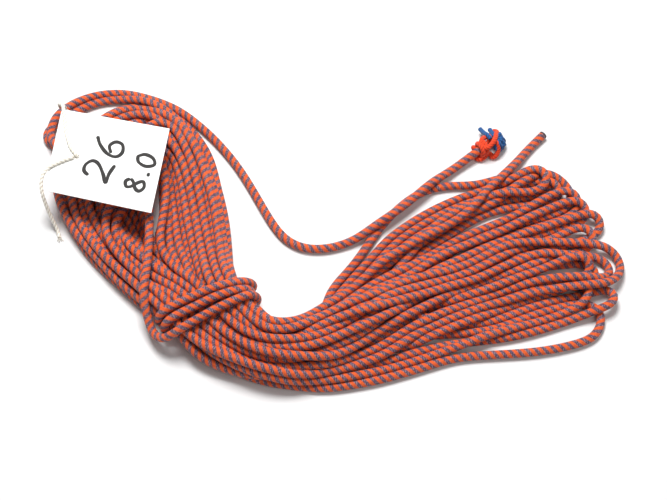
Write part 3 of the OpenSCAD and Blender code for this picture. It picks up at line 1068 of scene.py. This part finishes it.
    def laid_down(self, seed: int) -> tuple[np.ndarray, int]:
        """The rope from the winding's end to its cut, each loop above the last one.

        Args:
            seed: seed of the small deviations.

        Returns:
            Rows of x, y, z and the loop count, and how many belong to the way in.
        """
        wobble = np.random.default_rng(seed)
        s, p = self.exit_from
        rows = []
        for i, a in enumerate(np.radians(np.arange(0, 91, 22.5))):
            turn_s = s + self.skew * p - self.exit_turn * (1 - math.cos(a))
            rows.append([*self.at_waist(turn_s, p - self.exit_turn * math.sin(a)), -0.3 + 0.02 * i])
        rows.append([*(self.on_head(0, -4)[0]), -0.2])
        loops = len(self.bights)
        for n in range(loops + 1):
            first = self.first_station if n == 0 else -self.head_stations
            for k in range(first, self.head_stations + 1):
                if (n, k) == (self.stub_loop, 0):
                    continue
                if (n, k) == (self.stub_loop, -1):
                    at_stub = n - 1.4 / self.stations
                    step = 1.1 / self.stations / len(self.stub)
                    rows += [[*p, at_stub + step * i] for i, p in enumerate(self.stub)]
                    continue
                place, inward = self.on_head(n, k)
                free = float(ease((4.6 - abs(k)) / 1.5))
                place = place + inward * self.head_wobble * free * wobble.normal()
                rows.append([*place, n + k / self.stations])
            if n < loops:
                points = self.bight_points(n, wobble)
                span = self.body_span / (len(points) - 1)
                rows += [
                    [*p, n + (self.body_from + span * j) / self.stations]
                    for j, p in enumerate(points)
                ]
        rows += [[*self.on_body(i, 0.08 + 0.04 * i), loops + (6 + i) / self.stations] for i in range(3)]
        rows += [
            [x, y, loops + (9 + i) / self.stations] for i, (x, y) in enumerate(self.short_tail)
        ]
        rows = np.array(rows)
        rise = np.maximum(rows[:, 2] - self.first_station / self.stations, 0)
        height = self.thickness / 2 + (self.thickness + 0.3) * rise
        table = np.column_stack([rows[:, :2], height, rows[:, 2]])
        table = resample(catmull(table, 8), self.node_step)
        way_in = int(np.argmax(table[:, 3] > self.first_station / self.stations))
        return table, way_in

    def settled(self) -> tuple[np.ndarray, int, int]:
        """Lets the rope come to rest.

        Returns:
            Its points, the number of the first loop's first point and that of the
            short tail's first point.
        """
        rows, way_in = self.laid_down(self.seed)
        tail = int(np.argmax(rows[:, 3] > len(self.bights) + 10 / self.stations))
        heap = Settling([rows[:, :3]], self.node_step, self.thickness)
        k = rows[:, 3] * self.stations
        half = self.stations // 2
        off = np.abs((k + 0.5) % half - half / 2)
        heap.pull = self.keep + self.keep_tips * ease((off - 4.5) / 2)
        heap.pull[-self.cut_points :] = self.keep_cut
        heap.pull[:way_in] = self.keep_way_in
        heap.loose[0] = 0
        radius = self.thickness / 2
        loops = np.arange(len(rows)) >= way_in

        floor = np.full(len(rows), radius)
        for loop, first, last, height in self.bridges:
            inside = np.minimum(k - loop * self.stations - first, loop * self.stations + last - k)
            floor = np.maximum(floor, radius + (height - radius) * ease(inside / 0.8))

        def hold(x: np.ndarray) -> None:
            """Keeps points above the floor, over the winding's under-runs and in its turns.

            Args:
                x: the points, which it moves.
            """
            s, p = self.in_turns(x)
            near = (np.abs(p) < self.lift_across) & loops
            off = np.abs(s - self.turns_middle)
            lift = (self.thickness + 0.2) * ease((self.lift_half - off) / self.lift_ramp) * near
            x[:, 2] = np.maximum(x[:, 2], np.maximum(floor, radius + lift))
            over = (off < self.turns_half) & near & (np.abs(p) > self.waist_half)
            limit = np.clip(p, -self.waist_half, self.waist_half)
            x[over, :2] += ((limit - p) * self.draw_in)[over, None] * self.across
            x[-3:] = rows[-3:, :3] * (1, 1, 0) + (0, 0, radius)

        heap.run(450, 0.5, 0.15, hold, last_weight=0.15)
        heap.run(300, 0.15, 0.12, hold)
        heap.run(250, 0.04, 0.1, hold, firmness=0.4)
        return heap.points, way_in, tail


@dataclass
class Rope:
    """The whole rope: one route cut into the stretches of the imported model."""

    diameter: float = ROPE_WIDTH
    ring_step: float = 3.5
    hank: Hank = field(default_factory=Hank)
    turns: float = 2.58
    turn_nodes: int = 28
    # Where the turns end, in degrees round the strands
    turns_end: float = -105.0
    # Power of the turns' rounded box: 1 is an oval, 0 a box
    roundness: float = 0.6
    pitch: float = 9.3
    slack: float = 5.0
    # How far along and across from the waist's middle the winding's height is taken
    top_within: tuple[float, float] = (14.0, 60.0)
    # Rounds and share of its length that the winding is drawn to
    tightening: tuple = ((22, 0.985), (14, 0.995), (14, 1.0))
    # How firmly the tail keeps its place, and the turns their place along the strands
    keep_tail: float = 0.05
    keep_turns: float = 0.1
    # How far the turns run together at the hank's inner side, and where
    gather: float = 0.45
    gather_at: float = 3.0
    # Where the tail carries the card, the highest middle of a strand below it, and the height
    # at which the tail bridges the eye
    props: tuple = ((-192, 87), (-167, 64))
    below_card: float = 34.6
    bridge: float = 26.0
    bridge_points: int = 17
    # From the knot along the ground, round the head, under the card and down to the winding
    long_points: tuple = (
        (134, 99, 8), (126, 93, 8), (112, 82.5, 8), (94, 68, 14), (74, 50, 14), (54, 32, 12),
        (34, 16, 8), (15, 5, 4), (-4, -1, 4), (-23, -2, 4), (-41, 6, 4), (-55, 27, 4),
        (-67, 50, 4), (-79, 72, 4), (-90, 89, 4), (-106, 109, 4), (-124, 127, 4),
        (-143, 141.5, 4), (-163, 151, 4), (-184, 156, 4), (-205, 156.5, 4), (-222, 152, 6),
        (-236, 143, 9), STRING_RING, (-248, 131, 9), (-252, 117, 14), (-252, 104, 20),
        (-244, 95, 27), (-228, 91, 32), (-206, 90, 34.6), (-184, 83, 34.6), (-167, 64, 34.6),
        (-158, 42, 32), (-156, 14, 30), (-155, -12, 34), (-155, -38, 40), (-154, -58, 38),
        (-153, -72, 32), (-150, -85, 23), (-143, -93, 18), (-133, -91, 24),
    )  # fmt: skip

    def turn_points(self, top: float) -> np.ndarray:
        """The winding's turns before they are drawn tight.

        Args:
            top: height of the highest strand inside them.

        Returns:
            Points from its start at the lower left to its end under the strands.
        """
        half = self.hank.waist_half + self.diameter + self.slack
        low, high = self.diameter / 2, top + self.diameter + self.slack
        middle, reach = (low + high) / 2, (high - low) / 2
        end = math.radians(self.turns_end)
        start = end + 2 * math.pi * self.turns
        rows = []
        count = int(self.turns * self.turn_nodes)
        for i in range(count + 1):
            f = i / count
            a = start + (end - start) * f
            c, s = math.cos(a), math.sin(a)
            p = half * math.copysign(abs(c) ** self.roundness, c)
            z = middle + reach * math.copysign(abs(s) ** self.roundness, s)
            along = self.hank.exit_from[0] + self.pitch * self.turns * (1 - f)
            along += (self.gather_at - along) * self.gather * float(ease(p / half))
            rows.append([*self.hank.at_waist(along + self.hank.skew * p, p), z])
        return np.array(rows)

    def routes(self) -> dict[str, np.ndarray]:
        """Works out the routes of the stretches.

        Returns:
            Their points by name, from the knot to the cut. Neighbours share an end.
        """
        hank = self.hank
        loops, way_in, tail = hank.settled()
        s, p = hank.in_turns(loops)
        inside = (np.abs(s) < self.top_within[0]) & (np.abs(p) < self.top_within[1])
        turns = self.turn_points(float(loops[inside, 2].max()))
        start = catmull(np.vstack([self.long_points, turns[2]]), 6)[:-1]
        chain = resample(np.vstack([start, turns[2:], loops[0]]), hank.node_step)
        near = np.linalg.norm(chain[:, None, :] - turns[None, 2:6, :], axis=2).min(1)
        first_turn = int(np.argmin(near))
        chain = self.tightened(loops, chain, first_turn)
        return {
            "long_tail": chain[: first_turn + 1],
            "waist_wrap": np.vstack([chain[first_turn:-1], loops[: way_in + 1]]),
            "hank_loops": loops[way_in : tail + 1],
            "short_tail": loops[tail:],
            "cut_end_sheath": np.vstack([loops[-1], CUT_START + 0.5 * SLEEVE * CUT_WAY, SLEEVE_END]),
        }

    def tightened(self, loops: np.ndarray, chain: np.ndarray, first_turn: int) -> np.ndarray:
        """Draws the winding tight and lays the long tail down.

        Args:
            loops: the settled loops, which stay.
            chain: long tail and winding.
            first_turn: where the winding begins in it.

        Returns:
            The chain at rest.
        """
        heap = Settling([loops, chain], self.hank.node_step, self.diameter)
        base = len(loops)
        heap.loose[:base] = 0
        heap.loose[base : base + 3] = 0
        heap.loose[-1] = 0
        ring = int(np.argmin(np.linalg.norm(chain - STRING_RING, axis=1)))
        heap.loose[base + ring - 1 : base + ring + 2] = 0
        props = [int(np.argmin(np.linalg.norm(chain[:, :2] - at, axis=1))) for at in self.props]
        under = np.arange(ring + 2, props[-1] + 5)
        over_eye = np.arange(props[-1], props[-1] + self.bridge_points)
        heap.pull[base:] = self.keep_tail
        heap.pull[base + first_turn - 4 :] = 0
        radius = self.diameter / 2
        winding = base + first_turn
        in_place = self.hank.in_turns(chain)[0]

        def hold(x: np.ndarray) -> None:
            """Keeps the chain above the floor, and the turns side by side.

            Args:
                x: the points, which it moves.
            """
            part = x[base:]
            part[:, 2] = np.maximum(part[:, 2], radius)
            part[under, 2] = np.minimum(part[under, 2], self.below_card)
            part[props[0] : props[-1] + 1, 2] = self.below_card
            part[over_eye, 2] = np.maximum(part[over_eye, 2], self.bridge)
            slip = in_place - self.hank.in_turns(part)[0]
            part[first_turn:-2, :2] += (self.keep_turns * slip)[first_turn:-2, None] * self.hank.along

        for tight in (share for rounds, share in self.tightening for _ in range(rounds)):
            heap.run(10, 0.3, 0.3, hold, last_weight=0.3)
            lengths = np.linalg.norm(np.diff(heap.points[winding:], axis=0), axis=1)
            heap.rest[winding:-1] = tight * lengths.mean()
        heap.run(60, 0.05, 0.15, hold, firmness=0.4, last_weight=0.02)
        return heap.points[base:]

    def build(self, on_long: list[bpy.types.Object], on_short: list[bpy.types.Object]) -> None:
        """Makes, declares and dresses the stretches.

        Args:
            on_long: pieces at the end of the long tail; not used.
            on_short: pieces at the end of the short tail.
        """
        finish = SHEATH.material()
        routes = self.routes()
        whole, cuts = [], [0]
        for route in routes.values():
            part = resample(catmull(smoothed(route, 3), 3), self.ring_step)
            if whole:
                part = part[1:]
            whole.append(part)
            cuts.append(cuts[-1] + len(part))
        path = smoothed(np.vstack(whole), 1)
        path[:, 2] = np.maximum(path[:, 2], self.diameter / 2)
        side, other = carried_frames(path)
        s = arc(path)
        pieces, lines = {}, {}
        for name, start, end in zip(routes, [0] + [c - 1 for c in cuts[1:-1]], cuts[1:]):
            rings = slice(start, end)
            tube = Tube(
                name + "_rope",
                path[rings],
                self.diameter,
                lay_start=float(s[start]),
                frames=(side[rings], other[rings]),
                caps=(name == "long_tail", name == "cut_end_sheath"),
            )
            pieces[name], lines[name] = tube.build(finish), metres(path[rings])
            declare(pieces[name], Body.ROPE, Slot.SHEATH, name)
        on_short.append(pieces["cut_end_sheath"])


# ---------------------------------------------------------------- cut end, knot and tag


def packed(node: str) -> list[bpy.types.Object]:
    """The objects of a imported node."""
    return [o for o in bpy.context.scene.objects if o.get("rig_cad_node") == node]


def declare(piece: bpy.types.Object, body: Body, slot: Slot, *nodes: str) -> None:
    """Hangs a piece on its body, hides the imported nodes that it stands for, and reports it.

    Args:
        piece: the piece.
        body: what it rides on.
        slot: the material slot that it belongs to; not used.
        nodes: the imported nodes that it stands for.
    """
    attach(piece, body.value)
    if nodes:
        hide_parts(*nodes)
    LOG.info("%s built in %s", piece.name, piece.data.materials[0].name)


def dress_node(node: str, finish: bpy.types.Material) -> None:
    """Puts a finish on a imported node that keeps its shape.

    Args:
        node: the node's name.
        finish: the material.
    """
    for obj in packed(node):
        for slot in obj.material_slots:
            slot.link = "OBJECT"
            slot.material = finish
        LOG.info("%s dressed in %s", node, finish.name)


@dataclass
class CutEnd:
    """The heat-sealed end: a melted cap over the core strands."""

    radius: float = 3.58
    length: float = 2.6
    uneven: float = 0.05

    def build(self) -> list[bpy.types.Object]:
        """Makes the cap and dresses the core.

        Returns:
            Both.
        """
        f = np.array([0.0, 0.25, 0.5, 0.7, 0.85, 0.95, 1.0])
        size = np.array([0.98, 1.04, 1.02, 0.93, 0.76, 0.5, 0.2])

        def melted(a: np.ndarray, s: np.ndarray) -> np.ndarray:
            """Radius of the cap round its axis and along it."""
            lumps = np.sin(3 * a + 0.7) + 0.6 * np.sin(5 * a + 4 * s)
            return np.interp(s / self.length, f, size) * (1 + self.uneven * lumps * (s > 0.2))

        route = SLEEVE_END + np.outer(f * self.length, CUT_WAY)
        tube = Tube("cut_end_cap", route, 2 * self.radius, sides=28, profile=melted)
        cap = tube.build(MELTED_NYLON.material())
        declare(cap, Body.ROPE, Slot.MELTED, "cut_end_tip")
        dress_node("cut_end_core", CORE_YARN.material())
        return [cap, *packed("cut_end_core")]


@dataclass
class YarnKnot:
    """The knot of acrylic yarn that whips and marks the long tail's end."""

    end: tuple[float, float, float] = (134, 99, 8)
    way: tuple[float, float] = (0.8, 0.6)
    orange_width: float = 4.4
    blue_width: float = 4.2
    strand_width: float = 3.5
    turns: float = 2.25
    # From the ring on the ground to the turns round the rope
    lower: tuple = (
        (141, 92, 3.2), (137.5, 94.6, 3.6), (134.5, 92, 2.4), (131, 89, 2.4), (127.2, 89.6, 2.4),
        (126, 92.6, 2.6), (127, 95.6, 3.4),
    )  # fmt: skip
    # From the turns over the crown and down to a second loop on the ground
    crown: tuple = (
        (138.5, 106, 12.6), (134, 106.8, 10), (130.8, 102, 13.4), (131.5, 96, 12.8),
        (136, 94.2, 13.8), (140.4, 98.2, 15.8), (143, 103.6, 15), (144.2, 109, 12),
        (145.6, 114.2, 7.6), (143, 116.6, 4.6), (140.2, 112, 5), (140, 106.4, 9.4),
        (142.4, 101.6, 12.6), (145, 99.6, 12.2), (146, 96.6, 9), (145.2, 93.6, 5.2),
        (142.4, 91.2, 2.6), (139.2, 91.8, 2.6),
    )  # fmt: skip
    stubs: tuple = (
        ((139, 103.5, 13), (136.6, 107.4, 13), (134.4, 111.2, 10), (132.6, 115, 7.4), (131, 118.6, 5.4)),
        ((141.5, 106, 12), (141.4, 110, 10.6), (140.6, 113.8, 8.4), (139.4, 117.2, 6.8)),
    )  # fmt: skip
    # The turns' way along the rope from its end
    wrap_from: float = -8.5
    wrap_length: float = 10.0
    # The blue end is combed out into strands that fan round and drop to the ground
    brush_from: tuple[float, float, float] = (143.6, 104.2, 9.5)
    brush: int = 20
    fan_from: float = -72.0
    fan: float = 165.0
    strand_reach: tuple[float, float] = (6.0, 9.0)
    strand_rise: tuple[float, float] = (-2.5, 4.5)
    seed: int = 3

    def build(self) -> list[bpy.types.Object]:
        """Makes the knotted yarns and the combed-out end.

        Returns:
            The pieces.
        """
        end, way = np.array(self.end, float), np.array([*self.way, 0.0])
        side = np.cross(way, (0.0, 0.0, 1.0))
        steps = int(self.turns * 12)
        a = math.pi + np.arange(steps + 1) * math.pi / 6
        reach = (ROPE_WIDTH + self.orange_width) / 2 - 0.3
        along = self.wrap_from + self.wrap_length * np.arange(steps + 1) / steps
        turns = end + along[:, None] * way + reach * (
            np.cos(a)[:, None] * side + np.sin(a)[:, None] * (0.0, 0.0, 1.0)
        )
        orange, blue = ORANGE_YARN.material(), BLUE_YARN.material()
        route = np.vstack([self.lower, turns, self.crown])
        pieces = [self._yarn("knot_orange", route, self.orange_width, orange)]
        declare(pieces[0], Body.ROPE, Slot.ORANGE, "knot_orange_yarn")
        for i, stub in enumerate(self.stubs):
            pieces.append(self._yarn(f"knot_blue_stub_{i}", np.array(stub), self.blue_width, blue))
            declare(pieces[-1], Body.ROPE, Slot.BLUE, *(["knot_blue_yarn"] if i == 0 else []))
        loose = np.random.default_rng(self.seed)
        start = np.array(self.brush_from)
        for i in range(self.brush):
            place = self.fan * i / (self.brush - 1)
            turn = math.radians(self.fan_from + place + loose.normal(0, 6))
            out = np.array([math.cos(turn), math.sin(turn), 0.0])
            bend = np.array([-out[1], out[0], 0.0]) * loose.normal(0, 1.6)
            far = loose.uniform(*self.strand_reach)
            rise = loose.uniform(*self.strand_rise)
            points = np.array(
                [
                    start - 2.0 * out,
                    start + 0.3 * far * out + (0, 0, 0.7 * rise) + 0.2 * bend,
                    start + 0.7 * far * out + (0, 0, rise - 1.2) + bend,
                    start + far * out + (0, 0, 0.6 * rise - 4.0) + 0.6 * bend,
                    start + 0.9 * far * out + (0, 0, -7.0) + 0.2 * bend,
                ]
            )
            points[:, 2] = np.maximum(points[:, 2], self.strand_width / 2 + 0.1)
            pieces.append(self._yarn(f"knot_blue_strand_{i}", points, self.strand_width, blue))
            declare(pieces[-1], Body.ROPE, Slot.BLUE)
        return pieces

    def _yarn(
        self, name: str, points: np.ndarray, width: float, finish: bpy.types.Material
    ) -> bpy.types.Object:
        """One yarn: plies that twist round each other.

        Args:
            name: the piece's name.
            points: its route.
            width: its diameter.
            finish: its material.

        Returns:
            The piece.
        """

        def plied(a: np.ndarray, s: np.ndarray) -> np.ndarray:
            """Radius of three plies."""
            return 0.88 + 0.12 * np.abs(np.sin(1.5 * a + math.pi * 3 * s / ORANGE_YARN.turn_mm))

        route = resample(catmull(points, 6), 0.7)
        return Tube(name, route, width, sides=12, profile=plied).build(finish)


# ---------------------------------------------------------------- tag


@dataclass
class TagString:
    """The tag's cotton string: an eye round the rope, a leg to the card and a loose end."""

    width: float = 3.4
    hole: tuple[float, float] = (-220, 70)
    on_card: float = 41.0
    ring_at: tuple[float, float, float] = STRING_RING
    ring_radius: float = 6.4
    leg: tuple = (
        (-226, 79, 41), (-230.5, 92, 41), (-233, 105, 41.1), (-235, 116, 41.3), (-236.6, 122.5, 39),
        (-238, 127.5, 32), (-239.3, 132, 22),
    )  # fmt: skip
    tail: tuple = (
        (-229, 66, 41), (-237, 62, 41.2), (-243.3, 57.5, 41.2), (-247.5, 51, 39.5),
        (-248.6, 45, 36.8), (-248, 38, 32), (-246, 32, 24), (-243.5, 27, 15), (-240.5, 22, 7),
        (-238, 17, 2.6), (-236, 11, 1.9),
    )  # fmt: skip
    knot_radius: float = 2.7
    # Depth of the knot's first turn under the string's top, and how much lower each point lies
    knot_depth: float = 4.6
    knot_sink: float = 0.155
    fray: int = 9
    fray_width: float = 0.6
    # Where the leg and the loose end leave the knot: distances of their first two points
    starts: tuple[float, float] = (2.4, 5.9)
    seed: int = 5

    def build(self) -> None:
        """Makes the leg with its eye, the loose end and the knot under the card."""
        finish = COTTON.material()
        hole = np.array([*self.hole, self.on_card])
        ring = np.array(self.ring_at, float)
        side = np.array([1.0, -1.0, 0.0]) / math.sqrt(2)
        a = np.radians(np.arange(60, 401, 20))
        eye = ring + self.ring_radius * (
            np.cos(a)[:, None] * side + np.sin(a)[:, None] * (0.0, 0.0, 1.0)
        )
        ways = {}
        for name, turn, points in (("leg", 125, self.leg), ("tail", 205, self.tail)):
            out = np.array([math.cos(math.radians(turn)), math.sin(math.radians(turn)), 0.0])
            ways[name] = np.vstack([*(hole + far * out for far in self.starts), points])
        ways["leg"] = np.vstack([ways["leg"], eye])
        knot = self._string("tag_knot", self._knot_points(hole), finish)
        declare(knot[0], Body.TAG, Slot.COTTON, "tag_string_knot")
        leg, line = self._string("tag_leg", ways["leg"], finish)
        declare(leg, Body.TAG, Slot.COTTON, "tag_string_loop")
        tail, line = self._string("tag_tail", ways["tail"], finish)
        declare(tail, Body.TAG, Slot.COTTON, "tag_string_tail")
        self._fray(line, finish)

    def _knot_points(self, hole: np.ndarray) -> np.ndarray:
        """Route of the knot, from where the legs meet through the hole to its turns below.

        Args:
            hole: the middle of the hole at the height of the string's middle line.

        Returns:
            Its points.
        """
        rows = [hole + (-1.4, 2.0, 0), hole + (-0.5, 0.7, -0.4), hole + (0, 0, -2.2), hole + (0, 0, -3.6)]
        for i in range(21):
            a = math.radians(40 * i)
            r = self.knot_radius * min(1.0, 0.4 + 0.3 * i)
            z = -self.knot_depth - self.knot_sink * i
            rows.append(hole + (r * math.cos(a), r * math.sin(a), z))
        return np.array(rows)

    def _string(
        self, name: str, points: np.ndarray, finish: bpy.types.Material
    ) -> tuple[bpy.types.Object, np.ndarray]:
        """A length of string.

        Args:
            name: the piece's name.
            points: its route.
            finish: its material.

        Returns:
            The piece and the line that it follows.
        """

        def plied(a: np.ndarray, s: np.ndarray) -> np.ndarray:
            """Radius of two plies."""
            return 0.74 + 0.26 * np.abs(np.sin(a + 2 * math.pi * s / COTTON.turn_mm))

        line = resample(catmull(points, 6), 0.9)
        return Tube(name, line, self.width, sides=16, profile=plied).build(finish), line

    def _fray(self, line: np.ndarray, finish: bpy.types.Material) -> list[bpy.types.Object]:
        """Makes the loose fibres at the cut end of the string.

        Args:
            line: the string's middle line.
            finish: the fibres' material.

        Returns:
            The fibres.
        """
        loose = np.random.default_rng(self.seed)
        tip = line[-1]
        way = headings(line)[-1]
        pieces = []
        for i in range(self.fray):
            aside = np.array([loose.normal(0, 0.5), loose.normal(0, 0.3), loose.normal(0, 0.2)])
            points = np.array([tip + way * d + aside * w for d, w in ((-2, 1), (0.5, 1.6), (3, 3.2))])
            points[:, 2] = np.maximum(points[:, 2], 0.4)
            route = resample(catmull(points, 4), 0.8)
            fibre = Tube(f"tag_fray_{i}", route, self.fray_width, sides=6)
            pieces.append(fibre.build(finish))
            declare(pieces[-1], Body.TAG, Slot.COTTON)
        return pieces


@dataclass
class Marks:
    """Plain figures drawn on the card with a broad marker."""

    height: float = 39.28
    # How much a stroke rises along its way, so that it crosses itself cleanly
    layer: float = 0.001
    width: float = 3.2
    figures: tuple = (
        ("2", (-193.5, 43.0), 20.0, 24.0, 68.0),
        ("6", (-184.5, 66.0), 19.0, 27.0, 68.0),
        ("8", (-163.0, 33.0), 14.0, 17.0, 70.0),
        (".", (-157.4, 50.0), 4.0, 17.0, 70.0),
        ("0", (-155.0, 56.5), 14.0, 17.0, 70.0),
    )  # fmt: skip
    strokes: dict = field(
        default_factory=lambda: {
            "2": ((0.1, 0.72), (0.25, 0.95), (0.55, 1.0), (0.82, 0.84), (0.76, 0.58), (0.4, 0.26),
                  (0.05, 0.02), (0.5, 0.06), (0.98, 0.02)),
            "6": ((0.82, 1.0), (0.45, 0.78), (0.14, 0.42), (0.14, 0.12), (0.45, 0.0), (0.82, 0.12),
                  (0.84, 0.36), (0.55, 0.48), (0.22, 0.32)),
            "8": ((0.78, 0.84), (0.52, 1.0), (0.2, 0.86), (0.28, 0.64), (0.66, 0.4), (0.84, 0.16),
                  (0.5, 0.0), (0.16, 0.14), (0.24, 0.38), (0.62, 0.62), (0.8, 0.82)),
            ".": ((0.0, 0.0), (0.5, 0.06), (0.9, 0.02)),
            "0": ((0.6, 0.98), (0.24, 0.8), (0.12, 0.36), (0.4, 0.0), (0.78, 0.2), (0.88, 0.66),
                  (0.62, 0.96), (0.5, 0.94)),
        }
    )  # fmt: skip

    def build(self) -> None:
        """Makes the marks as one flat piece on the card."""
        verts, faces = [], []
        for figure, corner, wide, tall, turn in self.figures:
            a = math.radians(turn)
            right = np.array([math.cos(a), math.sin(a)])
            up = np.array([-right[1], right[0]])
            line = catmull(self.strokes[figure], 8)
            line = np.array(corner) + line[:, :1] * wide * right + line[:, 1:] * tall * up
            line = resample(np.column_stack([line, np.zeros(len(line))]), 0.5)
            s = arc(line)
            way = headings(line)
            across = np.column_stack([-way[:, 1], way[:, 0], np.zeros(len(line))])
            ends = np.minimum(np.minimum(s, s[-1] - s) / (0.5 * self.width), 1.0)
            press = 1 + 0.1 * np.sin(0.35 * s + len(verts))
            half = 0.5 * self.width * press * np.sqrt(np.clip(1 - (1 - ends) ** 2, 0.08, 1))
            first = len(verts)
            for row, w, v, at in zip(line, half, across, s):
                for sign in (1, -1):
                    verts.append([*(row + sign * w * v)[:2], self.height + self.layer * at])
            faces += [
                (first + 2 * i, first + 2 * i + 1, first + 2 * i + 3, first + 2 * i + 2)
                for i in range(len(line) - 1)
            ]
        mesh = bpy.data.meshes.new("tag_marks")
        mesh.from_pydata(metres(np.array(verts)).tolist(), [], faces)
        mesh.materials.append(MARKER_INK.material())
        piece = bpy.data.objects.new("tag_marks", mesh)
        bpy.context.scene.collection.objects.link(piece)
        declare(piece, Body.TAG, Slot.CARD)


# ---------------------------------------------------------------- studio


@dataclass
class Studio:
    """Pale floor, soft light and the camera."""

    elevation: float = 63.0
    distance: float = 1210.0
    lens: float = 76.0
    sensor: float = 36.0
    floor_half: float = 6.0
    world_light: float = 0.24
    # Name, place and size in metres, and power in watts
    lamps: tuple = (
        ("overhead", (-0.15, 0.6, 1.45), 0.65, 34.5),
        ("fill", (0.9, -0.7, 1.3), 1.2, 5.0),
    )

    def build(self) -> None:
        """Makes the floor, the lamps and the camera."""
        scene = bpy.context.scene
        mesh = bpy.data.meshes.new("floor")
        r = self.floor_half
        mesh.from_pydata([(-r, -r, 0), (r, -r, 0), (r, r, 0), (-r, r, 0)], [], [(0, 1, 2, 3)])
        mesh.materials.append(PAPER_FLOOR.material())
        floor = bpy.data.objects.new("floor", mesh)
        scene.collection.objects.link(floor)

        world = bpy.data.worlds.new("soft box")
        world.use_nodes = True
        background = world.node_tree.nodes["Background"]
        background.inputs[0].default_value = linear("#FFFFFF")
        background.inputs[1].default_value = self.world_light
        scene.world = world
        for name, place, size, power in self.lamps:
            lamp = bpy.data.lights.new(name, "AREA")
            lamp.size, lamp.energy = size, power
            obj = bpy.data.objects.new(name, lamp)
            obj.location = place
            obj.rotation_euler = (-Vector(place)).to_track_quat("-Z", "Y").to_euler()
            scene.collection.objects.link(obj)
        scene.view_settings.view_transform = "Standard"

        camera = bpy.data.cameras.new("camera")
        camera.lens, camera.sensor_width = self.lens, self.sensor
        obj = bpy.data.objects.new("camera", camera)
        target = metres(np.zeros(3))
        e = math.radians(self.elevation)
        back = np.array([0.0, -math.cos(e), math.sin(e)])
        obj.location = target + back * self.distance * MILLIMETRE
        obj.rotation_euler = Vector(-back).to_track_quat("-Z", "Y").to_euler()
        scene.collection.objects.link(obj)
        scene.camera = obj


def main() -> None:
    """Builds the pieces in order."""
    logging.basicConfig(level=logging.INFO, format="%(message)s")
    Studio().build()
    Rope().build(YarnKnot().build(), CutEnd().build())
    dress_node("tag_card", CARD_STOCK.material())
    TagString().build()
    Marks().build()


if __name__ == "__main__":
    main()
